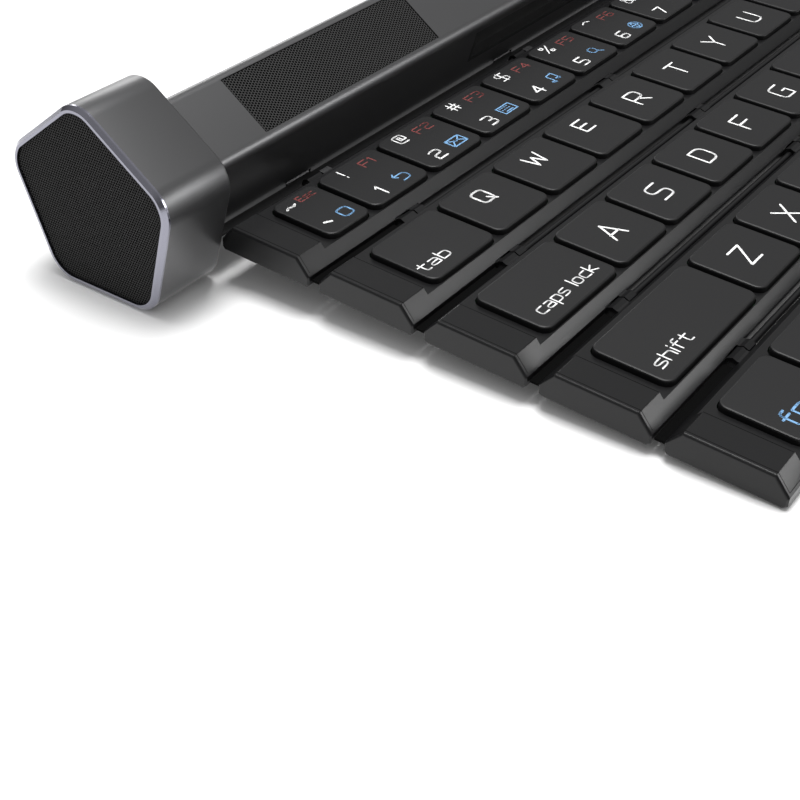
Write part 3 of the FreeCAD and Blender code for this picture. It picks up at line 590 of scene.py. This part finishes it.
@dataclass
class EndCap:
    """Wide cap at one end of the bar, with its bright rim and mesh panel.

    Attributes:
        side: end of the bar.
        apothem: middle to flat in mm.
        corner: corner radius in mm.
        inner: X of the face towards the tube in mm.
        outer: X where the rim starts in mm.
        wall: wall of the cup in mm.
        near_round: rounding of the edge towards the tube in mm.
        rim_depth: depth of the rim in mm.
        rim_width: width of the rim's ring in mm.
        rim_bevel: polished bevel of the rim in mm.
        panel_sink: step from the rim down to the mesh in mm.
        panel_gap: gap between the mesh and the rim in mm.
    """

    side: Side
    apothem: float = 15.85
    corner: float = 5.5
    inner: float = 128.85
    outer: float = 142.65
    wall: float = 1.6
    near_round: float = 0.35
    rim_depth: float = 1.0
    rim_width: float = 1.1
    rim_bevel: float = 0.62
    panel_sink: float = 0.5
    panel_gap: float = 0.05

    def name(self, piece: str) -> str:
        """Name of a piece at this end."""
        return f"{self.side.name.lower()}_{piece}"

    def build(self) -> None:
        """Make the cap, the rim and the mesh panel."""
        self.cap()
        self.rim()
        self.panel()

    def cap(self) -> None:
        """Cup with rounded corners, open to the rim."""
        sign = self.side.value
        mesh = bmesh.new()
        near = Pentagon(self.apothem, self.corner).face(mesh, sign * self.inner)
        near_edges = list(near.edges)
        far = extrude(mesh, [near], Vector((sign * (self.outer - self.inner) * MM, 0, 0)))
        bmesh.ops.inset_region(mesh, faces=far, thickness=self.wall * MM, use_even_offset=True)
        depth = self.outer - self.inner - self.wall
        bmesh.ops.translate(mesh, vec=Vector((-sign * depth * MM, 0, 0)), verts=self.sink(mesh, far))
        round_edges(mesh, near_edges, self.near_round * MM, 3)
        new_piece(self.name("cap_shell"), mesh, BAR_COAT, "bar", [self.name("end_cap")])

    @staticmethod
    def sink(mesh: bmesh.types.BMesh, faces: Sequence) -> list:
        """Extrude a floor in place.

        Args:
            mesh: mesh that holds the faces.
            faces: faces that become the floor.

        Returns:
            The floor's vertices, still level with the faces.
        """
        grown = bmesh.ops.extrude_discrete_faces(mesh, faces=list(faces))["faces"]
        return list({v for f in grown for v in f.verts})

    def rim(self) -> None:
        """Ring with a polished bevel round its outer edge."""
        sign = self.side.value
        mesh = bmesh.new()
        near = Pentagon(self.apothem, self.corner).face(mesh, sign * self.outer)
        far = extrude(mesh, [near], Vector((sign * self.rim_depth * MM, 0, 0)))
        round_edges(mesh, {e for f in far for e in f.edges}, self.rim_bevel * MM, 1)
        mesh.normal_update()
        ends = sorted(
            (f for f in mesh.faces if abs(f.normal.x) > 0.99), key=lambda f: sign * f.calc_center_median().x
        )
        rings = []
        for end, width in ((ends[0], self.rim_width), (ends[-1], self.rim_width - self.rim_bevel)):
            bmesh.ops.inset_region(mesh, faces=[end], thickness=width * MM, use_even_offset=True)
            rings += list(end.edges)
            bmesh.ops.delete(mesh, geom=[end], context="FACES_ONLY")
        bmesh.ops.bridge_loops(mesh, edges=rings)
        new_piece(self.name("rim_ring"), mesh, RIM_METAL, "bar", [self.name("rim")], 25.0)

    def panel(self) -> None:
        """Mesh panel inside the rim."""
        sign = self.side.value
        mesh = bmesh.new()
        outline = Pentagon(self.apothem - self.rim_width - self.panel_gap, self.corner - self.rim_width)
        near = outline.face(mesh, sign * self.outer)
        extrude(mesh, [near], Vector((sign * (self.rim_depth - self.panel_sink) * MM, 0, 0)))
        new_piece(self.name("mesh_panel"), mesh, END_MESH, "bar", [self.name("end_grille")])


@dataclass
class RowShell:
    """Moulded shell of one row: softened tray, deck with key openings, parting lines, painted shade lines at the raised
    ends and gap seals of painted shade.

    Attributes:
        row: number of the row, from the bar.
        tray_round: rounding of the tray's edges in mm.
        pitch: distance between hinge axes in mm.
        seam: width of a parting line or of a painted shade line in mm.
        seam_lift: height of such a line over its flat in mm.
        seam_end: distance of the parting line from a row's end in mm.
        section: Y and Z of the outline's corners from the foot of the back bevel to the foot of the front one in mm.
        seam_foot: height of the parting line along the front bevel in mm.
        seal_start: distance of a gap seal from a row's end in mm.
        seal_length: length of a gap seal in mm.
        seal_reach: reach of the seal to each side of the hinge axis in mm.
        seal_thickness: thickness of the seal in mm.
        deck_levels: underside and top of the deck in mm.
        clearance: gap between a key and its opening in mm.
        hole: corner radius of the key openings in mm.
        joint: heights in mm between which the deck and the tray's bevels meet.
        end_zone: length of a row's raised end in mm.
    """

    row: int
    tray_round: float = 0.12
    pitch: float = 20.8
    seam: float = 0.1
    seam_lift: float = 0.01
    seam_end: float = 0.85
    section: tuple[tuple[float, float], ...] = ((-0.985, 2.1), (-3.385, 5.0), (-17.215, 5.0), (-19.815, 2.1))
    seam_foot: float = 2.55
    seal_start: float = 0.8
    seal_length: float = 22.0
    seal_reach: float = 0.9
    seal_thickness: float = 0.4
    deck_levels: tuple[float, float] = (3.2, 4.0)
    clearance: float = 0.25
    hole: float = 1.9
    joint: tuple[float, float] = (2.3, 3.9)
    end_zone: float = 6.2

    def build(self) -> None:
        """Make the shell's pieces."""
        soften(f"row_{self.row}_tray", ROW_PLASTIC, f"row_{self.row}", self.tray_round, self.on_joint)
        self.deck()
        self.seams_and_step_shade()
        if self.row < LAST_ROW:
            self.seals()

    def on_joint(self, edge: bmesh.types.BMEdge) -> bool:
        """Tell whether an edge lies in the close joint between the deck and the tray's bevels.

        Args:
            edge: edge of the tray.

        Returns:
            True where the edge runs along the row within the joint's heights.
        """
        ends = [RowFrame(self.row).matrix().inverted() @ v.co for v in edge.verts]
        level = abs(ends[0].z - ends[1].z) < LEVEL_MM and abs(ends[0].y - ends[1].y) < LEVEL_MM
        return level and self.joint[0] < ends[0].z < self.joint[1]

    def bevel_reach(self, height: float) -> tuple[float, float]:
        """Find the bevels at a height.

        Args:
            height: height over the row's underside in mm.

        Returns:
            Y of the front and the back bevel in mm.
        """
        back_foot, back, front, front_foot = self.section
        share = (back[1] - height) / (back[1] - back_foot[1])
        return front[0] + share * (front_foot[0] - front[0]), back[0] + share * (back_foot[0] - back[0])

    def deck(self) -> None:
        """Deck with a rounded opening for each key, made of one frame per key."""
        mesh = bmesh.new()
        keys = KeyRow(self.row)
        length = RowFrame(self.row).length
        base, top = self.deck_levels
        ends = self.bevel_reach(top)
        starts = [self.end_zone] + [left - keys.gap / 2 for left, _ in keys.spans()[1:]] + [length - self.end_zone]
        sides = (keys.back - keys.depth - self.clearance, keys.back + self.clearance)
        for (left, width), start, end in zip(keys.spans(), starts, starts[1:]):
            outer = self.plate(mesh, (start, end), ends)
            inner = self.plate(mesh, (left - self.clearance, left + width + self.clearance), sides)
            before = set(mesh.faces) - set(inner[0].link_faces)
            bmesh.ops.bevel(
                mesh, geom=inner, offset=self.hole, offset_type="OFFSET", affect="VERTICES", segments=3, profile=0.5,
                material=-1,
            )
            pair = list(outer[0].link_faces) + list(set(mesh.faces) - before)
            loops = [e for f in pair for e in f.edges]
            bmesh.ops.delete(mesh, geom=pair, context="FACES_ONLY")
            bmesh.ops.bridge_loops(mesh, edges=loops)
        bmesh.ops.remove_doubles(mesh, verts=mesh.verts, dist=WELD_MM)
        low = {v for f in extrude(mesh, mesh.faces[:], Vector((0, 0, base - top))) for v in f.verts}
        for vert in low:
            for place, reach in zip(ends, self.bevel_reach(base)):
                if abs(vert.co.y - place) < WELD_MM:
                    vert.co.y = reach
        bmesh.ops.transform(mesh, matrix=RowFrame(self.row).matrix(), verts=mesh.verts)
        name = f"row_{self.row}_deck"
        new_piece(f"{name}_plate", mesh, ROW_PLASTIC, f"row_{self.row}", [name], 14.0)

    def plate(self, mesh: bmesh.types.BMesh, x: Sequence[float], y: Sequence[float]) -> list:
        """Add a flat rectangle at the deck's top.

        Args:
            mesh: mesh that gets the rectangle.
            x: its left and right edge, in the row's mm.
            y: its front and back edge, in the row's mm.

        Returns:
            Its corners.
        """
        middle = Matrix.Translation((sum(x) / 2, sum(y) / 2, self.deck_levels[1]))
        size = Matrix.Diagonal((x[1] - x[0], y[1] - y[0], 1, 1))
        return bmesh.ops.create_grid(mesh, x_segments=1, y_segments=1, size=0.5, matrix=middle @ size)["verts"]

    def strip(self, mesh: bmesh.types.BMesh, start: Vector, end: Vector, side: Vector) -> None:
        """Lay a thin dark line on a flat of the shell.

        Args:
            mesh: mesh that gets the line.
            start: first end, in the row's mm.
            end: second end, in the row's mm.
            side: direction across the line, in the flat.
        """
        along = (end - start).normalized()
        lift = along.cross(side).normalized()
        lift = lift if lift.z > 0 else -lift
        middle = (start + end) / 2 + lift * self.seam_lift
        axes = Matrix((along * (end - start).length, side * self.seam, lift)).transposed().to_4x4()
        shape = Matrix.Translation(middle) @ axes
        bmesh.ops.create_grid(mesh, x_segments=1, y_segments=1, size=0.5, matrix=RowFrame(self.row).matrix() @ shape)

    def seams_and_step_shade(self) -> None:
        """Parting lines near both ends and along the front bevel of the last row, and painted shade lines along the
        inner edges of the raised ends.
        """
        mesh = bmesh.new()
        length = RowFrame(self.row).length
        back_foot, back, front, front_foot = [Vector((0.0, y, z)) for y, z in self.section]
        share = (self.seam_foot - front.z) / (front_foot.z - front.z)
        foot = front.lerp(front_foot, share)
        across = Vector((1.0, 0.0, 0.0))
        for x in (self.seam_end, length - self.seam_end):
            at = across * x
            for start, end in ((back_foot, back), (back, front), (front, foot)):
                self.strip(mesh, start + at, end + at, across)
        # Painted shade: a thin dark line at each raised end's inner edge, where the step down to the deck falls in
        # shade.
        for x in (self.end_zone - self.seam, length - self.end_zone + self.seam):
            self.strip(mesh, back + across * x, front + across * x, across)
        if self.row == LAST_ROW:
            down = (front_foot - front).normalized()
            self.strip(mesh, foot + across * self.seam_end, foot + across * (length - self.seam_end), down)
        new_piece(f"row_{self.row}_parting_lines", mesh, SEAM_AND_SHADE_RUBBER, f"row_{self.row}")

    def seals(self) -> None:
        """Rubber strips that close the gap to the next row, past the outer hinges; their near-black colour is painted
        shade, so that the gaps read as shade.
        """
        mesh = bmesh.new()
        place = RowFrame(self.row)
        size = (self.seal_length, 2 * self.seal_reach, self.seal_thickness, 1)
        for x in (self.seal_start, place.length - self.seal_start - self.seal_length):
            middle = (x + self.seal_length / 2, -self.pitch, place.hinge_height)
            bmesh.ops.create_cube(
                mesh, size=1.0, matrix=place.matrix() @ Matrix.Translation(middle) @ Matrix.Diagonal(size)
            )
        new_piece(f"row_{self.row}_gap_seals", mesh, SEAM_AND_SHADE_RUBBER, f"row_{self.row}")


class Ink(Enum):
    """Inks of the legends."""

    WHITE = WHITE_INK
    RED = RED_INK
    BLUE = BLUE_INK


# Strokes of the wide lettering and the icons, as points of two base-36 digits each. The digits count half
# units: X from 0 at the left, Y from 4 at the baseline; capitals are 4 units wide and 6 tall (g at the top).
GLYPHS = {
    "A": "044g84 1878", "B": "046485896a0a 6a8b8f6g0g04", "C": "8424050f2g8g", "D": "0464868e6g0g04",
    "E": "84040g8g 0a7a", "F": "040g8g 0a7a", "G": "8g2g0f0524848a5a", "H": "040g 848g 0a8a", "I": "444g",
    "J": "06052464858g", "K": "040g 8g0a84", "L": "0g0484", "M": "040g4a8g84", "N": "040g848g",
    "O": "2464858f6g2g0f0524", "P": "040g6g8f8a6909", "Q": "2464858f6g2g0f0524 5883", "R": "040g6g8f8a6909 4984",
    "S": "046485896a2a0b0f2g8g", "T": "0g8g 444g", "U": "0g052464858g", "V": "0g448g", "W": "0g245d84ag",
    "X": "048g 840g", "Y": "0g4a8g 4a44", "Z": "0g8g0484",
    "0": "2464858f6g2g0f0524", "1": "2e4g44", "2": "0f2g6g8f8b6a2a090484", "3": "0g6g8f8b6a3a 6a89856404",
    "4": "646g0888", "5": "8g0g0a6a89856404", "6": "8g2g0f05246485896a0a", "7": "0g8g34",
    "8": "2a6a8b8f6g2g0f0b2a 2a098505246485896a", "9": "0464858f6g2g0f0b2a8a",
    "!": "484g 4445", "@": "7424050f2g6g8f8858 5d3d38585d", "#": "242g 646g 0888 0c8c",
    "$": "046485896a2a0b0f2g8g 434h", "%": "0g3g3d0d0g 5787845457 8g04", "^": "0d4g8d", "&": "840e1g4g5e0906145488",
    "*": "4c4g 2d6f 2f6d", "(": "6g3d3764", ")": "2g5d5724", "_": "0484", "-": "0a8a", "=": "0888 0c8c",
    "+": "0a8a 464e", "~": "092b4a698b", "`": "2g5e", "[": "6g3g3464", "]": "2g5g5424", "{": "6g4f4b3a494564",
    "}": "2g4f4b5a494524", "\\": "0g84", "|": "424h", ";": "4c4b 4542", ":": "4c4b 4544", "'": "4g4d",
    '"': "3g3d 5g5d", ",": "4542", ".": "4445", "/": "048g", "<": "8e0a86", ">": "0e8a06",
    "?": "0e0f2g6g8f8c4a48 4445",
    "a": "1c6c8b842405072888", "b": "0g0464858b6c0c", "c": "8424050b2c8c", "e": "08888b6c2c0b052484",
    "f": "242f3g6g 0c6c", "h": "040g 0c6c8b84", "i": "444c 4f4g", "k": "040g 7c0884", "l": "4g44",
    "n": "040c6c8b84", "o": "2464858b6c2c0b0524", "p": "000c6c8b856404", "r": "040c 0a2c6c",
    "s": "046485876828090b2c8c", "t": "3f354474 0c7c", "\u2191": "444g 0c4g8c", "\u2193": "444g 084488",
    "\u2190": "0a8a 3e0a36", "\u2192": "0a8a 5e8a56",
}


class Icon(Enum):
    """Second functions of the upper keys, as strokes like the letters'."""

    SQUARE = "2464858d6e2e0d0524"
    RETURN = "34a4c6caac0c 3f0c39"
    MAIL = "04g4ge0e04 0e88ge 046a g4aa"
    KEYBOARD = "04g4ge0e04 2c3c 5c6c 8c9c bccc 2939 5969 8999 b9c9 46c6"
    NOTE = "454fcgc7 052444460605 87a6c6c88887"
    SEARCH = "3g7g9e9a78381a1e3g 89c5"
    GLOBE = "4g8gcdc78444070d4g 0aca 6g3a64 6g9a64"


# Bends of a stroke up to this angle are rounded, up to this reach in glyph units; sharper ones are corners. The curve's
# handles lie at this share of the reach, and it gets this many points.
EASED_BEND = math.radians(75)
EASED_REACH = 1.0
EASED_HANDLE = 0.6
EASED_POINTS = 4
# Height of a capital, gap between letters and width of a space, in glyph units.
CAPITAL = 6.0
LETTER_GAP = 1.35
SPACE = 3.6


def ease(points: list[Vector]) -> list[Vector]:
    """Round the slight bends of a stroke and keep its sharp corners.

    Args:
        points: points of the stroke; a loop ends where it starts.

    Returns:
        The points of the eased stroke.
    """
    if points[0] == points[-1]:
        middle = (points[0] + points[1]) / 2
        points = [middle, *points[1:], middle]
    eased = [points[0]]
    for before, here, after in zip(points, points[1:], points[2:]):
        into, out = here - before, after - here
        if into.angle(out) > EASED_BEND:
            eased.append(here)
            continue
        start = here - into * min(0.5, EASED_REACH / into.length)
        end = here + out * min(0.5, EASED_REACH / out.length)
        handles = start.lerp(here, EASED_HANDLE), end.lerp(here, EASED_HANDLE)
        eased += interpolate_bezier(start, *handles, end, EASED_POINTS)
    return [*eased, points[-1]]


def stroke_points(strokes: str) -> list[list[Vector]]:
    """Read strokes written as pairs of base-36 digits.

    Args:
        strokes: strokes of a glyph, parted by spaces.

    Returns:
        The points of each stroke, in glyph units, with its slight bends eased.
    """
    return [
        ease([Vector((int(s[i], 36) / 2, int(s[i + 1], 36) / 2 - 2, 0)) for i in range(0, len(s), 2)])
        for s in strokes.split()
    ]


def draw_strokes(mesh: bmesh.types.BMesh, strokes: Iterable[Sequence[Vector]], width: float, place: Matrix) -> None:
    """Draw flat strokes with round joints.

    Args:
        mesh: mesh that gets the strokes.
        strokes: points of each stroke, in mm.
        width: width of the strokes in mm.
        place: matrix from those mm to the mesh.
    """
    for points in strokes:
        for start, end in zip(points, points[1:]):
            run = end - start
            turn = Matrix.Rotation(math.atan2(run.y, run.x), 4, "Z")
            shape = Matrix.Translation((start + end) / 2) @ turn @ Matrix.Diagonal((run.length, width, 1, 1))
            bmesh.ops.create_grid(mesh, x_segments=1, y_segments=1, size=0.5, matrix=place @ shape)
        for point in points:
            joint = place @ Matrix.Translation(point)
            bmesh.ops.create_circle(mesh, cap_ends=True, segments=8, radius=width / 2, matrix=joint)


@dataclass
class Legend:
    """One printed sign on a key.

    Attributes:
        text: letters of the sign, or its icon.
        ink: its ink.
        a: middle of the sign from the key's left edge in mm.
        b: middle of the sign from the key's back edge in mm.
        height: height of a capital in mm.
        stroke: width of the strokes in mm.
        stretch: width of the letters against the plain glyphs.
        fit: width of the whole sign in mm, in place of the stretch.
    """

    text: str | Icon
    ink: Ink
    a: float
    b: float
    height: float
    stroke: float = 0.45
    stretch: float = 1.36
    fit: float | None = None

    def strokes(self) -> list[list[Vector]]:
        """Set the letters in a line round its middle.

        Returns:
            The points of each stroke in mm.
        """
        lines: list[list[Vector]] = []
        left = 0.0
        for sign in [self.text.value] if isinstance(self.text, Icon) else [GLYPHS.get(c, "") for c in self.text]:
            found = stroke_points(sign)
            if not found:
                left += SPACE
                continue
            low = min(p.x for line in found for p in line)
            high = max(p.x for line in found for p in line)
            lines += [[p + Vector((left - low, 0, 0)) for p in line] for line in found]
            left += high - low + LETTER_GAP
        wide = max(p.x for line in lines for p in line)
        scale = self.height / CAPITAL
        stretch = self.fit / wide / scale if self.fit else self.stretch
        middle = Vector((wide / 2, CAPITAL / 2, 0))
        return [
            [Vector(((p - middle).x * scale * stretch, (p - middle).y * scale, 0)) for p in line] for line in lines
        ]

    def add(self, mesh: bmesh.types.BMesh, place: Matrix) -> None:
        """Print the sign.

        Args:
            mesh: mesh that gets the flat strokes.
            place: matrix from the key's corner, in mm, to the mesh.
        """
        draw_strokes(mesh, self.strokes(), self.stroke, place @ Matrix.Translation((self.a, -self.b, 0)))


# Bodies of the wide keys, by row and place in the row.
WIDE_KEYS = {
    (1, 13): "backspace_key", (2, 0): "tab_key", (3, 0): "caps_lock_key", (3, 12): "enter_key",
    (4, 0): "left_shift_key", (4, 12): "right_shift_key", (5, 0): "fn_key", (5, 4): "space_bar",
}
# Width of each row's first key in pitches, and of the last row's keys before its last one.
LEADING_UNITS = {1: 0.706, 2: 1.112, 3: 1.37, 4: 1.829}
LAST_ROW_UNITS = (1.0,) * 4 + (5.0,) + (1.0,) * 4
LETTERS = {2: "QWERTYUIOP", 3: "ASDFGHJKL", 4: "ZXCVBNM"}
# Words and arrows with their widths in mm, and their distances in mm from the key's left edge.
WORDS = {
    (2, 0): ("tab", 7.4), (3, 0): ("caps lock", 16.6), (3, 12): ("enter", 12.0), (4, 0): ("shift", 10.0),
    (4, 12): ("shift", 10.0), (1, 13): ("back", 10.0), (5, 1): ("ctrl", 7.6), (5, 2): ("alt", 6.0),
    (5, 5): ("alt", 6.0), (5, 6): ("\u2190", 3.6), (5, 7): ("\u2193", 3.0), (5, 8): ("\u2192", 3.6),
}
WORD_INSETS = {(2, 0): 0.9, (3, 0): 3.1}
WORD_INSET = 2.5
# Lower and upper sign of the keys with two.
PAIRS = {
    (2, 11): "[{", (2, 12): "]}", (2, 13): "\\|", (3, 10): ";:", (3, 11): "'\"", (4, 8): ",<", (4, 9): ".>",
    (4, 10): "/?",
}
DIGITS = "1234567890-="
SHIFTED = "!@#$%^&*()_+"
ICONS = (Icon.RETURN, Icon.MAIL, Icon.KEYBOARD, Icon.NOTE, Icon.SEARCH, Icon.GLOBE)
# Legends of the first keys of the first and the last row.
FIRST_LEGENDS = {
    (1, 0): [
        Legend("~", Ink.WHITE, 2.5, 2.7, 2.6, 0.45), Legend("Esc", Ink.RED, 6.9, 2.1, 1.5, 0.24, fit=3.9),
        Legend("`", Ink.WHITE, 2.9, 11.9, 3.6, 0.5), Legend(Icon.SQUARE, Ink.BLUE, 7.4, 10.2, 3.0, 0.32, 1.25),
    ],
    (5, 0): [Legend("fn", Ink.BLUE, 5.4, 9.7, 3.0, 0.4)],
}
# Keys whose letter is set small and high, as the photograph shows it.
SMALL_LETTERS = ((2, 1), (2, 2), (2, 3))


@dataclass
class KeyRow:
    """Keys of one row and their legends.

    Attributes:
        row: number of the row, from the bar.
        units: number of pitches in the row's length.
        gap: gap between keys in mm.
        margin: row's end to the first key in mm.
        back: row's back hinge to the keys' back edge in mm.
        depth: keys' depth in mm.
        base: underside of the keys over the row's underside in mm.
        top: top of the keys over the row's underside in mm.
        corner: corner radius in mm.
        edge: rounding of the top edge in mm.
        ink_lift: height of the print over the keys in mm.
        word_foot: keys' front edge to the middle of a word in mm.
    """

    row: int
    units: float = 14.118
    gap: float = 1.3
    margin: float = 8.9
    back: float = -3.915
    depth: float = 13.7
    base: float = 3.5
    top: float = 5.0
    corner: float = 1.7
    edge: float = 0.3
    ink_lift: float = 0.012
    word_foot: float = 3.8

    def spans(self) -> list[tuple[float, float]]:
        """Share the row out among its keys; the last key takes what is left.

        Returns:
            Left edge and width of each key in mm.
        """
        length = RowFrame(self.row).length
        pitch = (length - 2 * self.margin + self.gap) / self.units
        shares = LAST_ROW_UNITS
        if self.row < LAST_ROW:
            shares = [LEADING_UNITS[self.row]] + [1.0] * (12 if self.row < 3 else 11)
        found = []
        left = self.margin
        for share in shares:
            found.append((left, share * pitch - self.gap))
            left += share * pitch
        return found + [(left, length - self.margin - left)]

    def build(self) -> None:
        """Make the caps and the legends of each body in the row."""
        bodies: dict[str, list[int]] = {}
        spans = self.spans()
        for index in range(len(spans)):
            bodies.setdefault(WIDE_KEYS.get((self.row, index), f"row_{self.row}_keys"), []).append(index)
        for body, members in bodies.items():
            caps = bmesh.new()
            inks = {ink: bmesh.new() for ink in Ink}
            for index in members:
                self.add_cap(caps, *spans[index])
                for legend in self.legends(index, spans[index][1]):
                    corner = Matrix.Translation((spans[index][0], self.back, self.top + self.ink_lift))
                    legend.add(inks[legend.ink], RowFrame(self.row).matrix() @ corner)
            new_piece(f"{body}_caps", caps, KEY_COAT, body, [body], 20.0)
            for ink, mesh in inks.items():
                if mesh.faces:
                    new_piece(f"{body}_{ink.name.lower()}_legends", mesh, ink.value, body)
                else:
                    mesh.free()

    def add_cap(self, mesh: bmesh.types.BMesh, left: float, width: float) -> None:
        """Add one rounded key cap.

        Args:
            mesh: mesh that gets the cap.
            left: left edge in mm from the row's left end.
            width: width in mm.
        """
        middle = (left + width / 2, self.back - self.depth / 2, (self.base + self.top) / 2)
        shape = Matrix.Translation(middle) @ Matrix.Diagonal((width, self.depth, self.top - self.base, 1))
        key = bmesh.new()
        bmesh.ops.create_cube(key, size=1.0, matrix=shape)
        upright = [e for e in key.edges if abs(e.verts[0].co.z - e.verts[1].co.z) > LEVEL_MM]
        round_edges(key, upright, self.corner, 5)
        rim = [e for e in key.edges if min(v.co.z for v in e.verts) > self.top - LEVEL_MM]
        round_edges(key, rim, self.edge, 2)
        bmesh.ops.transform(key, matrix=RowFrame(self.row).matrix(), verts=key.verts)
        data = bpy.data.meshes.new("key")
        key.to_mesh(data)
        key.free()
        mesh.from_mesh(data)
        bpy.data.meshes.remove(data)

    def legends(self, index: int, width: float) -> list[Legend]:
        """Legends of one key.

        Args:
            index: place of the key in the row.
            width: key's width in mm.

        Returns:
            The key's legends.
        """
        spot = (self.row, index)
        letters = LETTERS.get(self.row, "")
        if spot in WORDS:
            word, length = WORDS[spot]
            middle = WORD_INSETS.get(spot, WORD_INSET) + length / 2
            return [Legend(word, Ink.WHITE, middle, self.depth - self.word_foot, 2.35, 0.27, fit=length)]
        if spot in FIRST_LEGENDS:
            return FIRST_LEGENDS[spot]
        if self.row == 1:
            found = [
                Legend(SHIFTED[index - 1], Ink.WHITE, 4.7, 2.5, 2.7, 0.3),
                Legend(DIGITS[index - 1], Ink.WHITE, 4.8, 10.9, 2.9, 0.38, 1.2),
                Legend(f"F{index}", Ink.RED, 11.0, 3.0, 2.05, 0.26),
            ]
            if index <= len(ICONS):
                found.append(Legend(ICONS[index - 1], Ink.BLUE, 11.0, 10.4, 3.0, 0.28, 1.0))
            return found
        if spot in PAIRS:
            low, high = PAIRS[spot]
            return [Legend(high, Ink.WHITE, 4.2, 4.2, 2.8), Legend(low, Ink.WHITE, 4.2, 9.6, 2.8)]
        if 0 < index <= len(letters):
            down, height = (4.8, 3.7) if spot in SMALL_LETTERS else (6.9, 4.5)
            return [Legend(letters[index - 1], Ink.WHITE, 7.6, down, height, 0.41, 1.24)]
        return []


def main() -> None:
    """Build the keyboard's looks in order."""
    logging.basicConfig(level=logging.INFO)
    dress_frame()
    for side in Side:
        EndCap(side).build()
    soften("bar_tube", BAR_COAT, "bar", 0.1)
    for row in range(1, LAST_ROW + 1):
        RowShell(row).build()
        KeyRow(row).build()
    Camera().build()
    Studio().build()


if __name__ == "__main__":
    main()
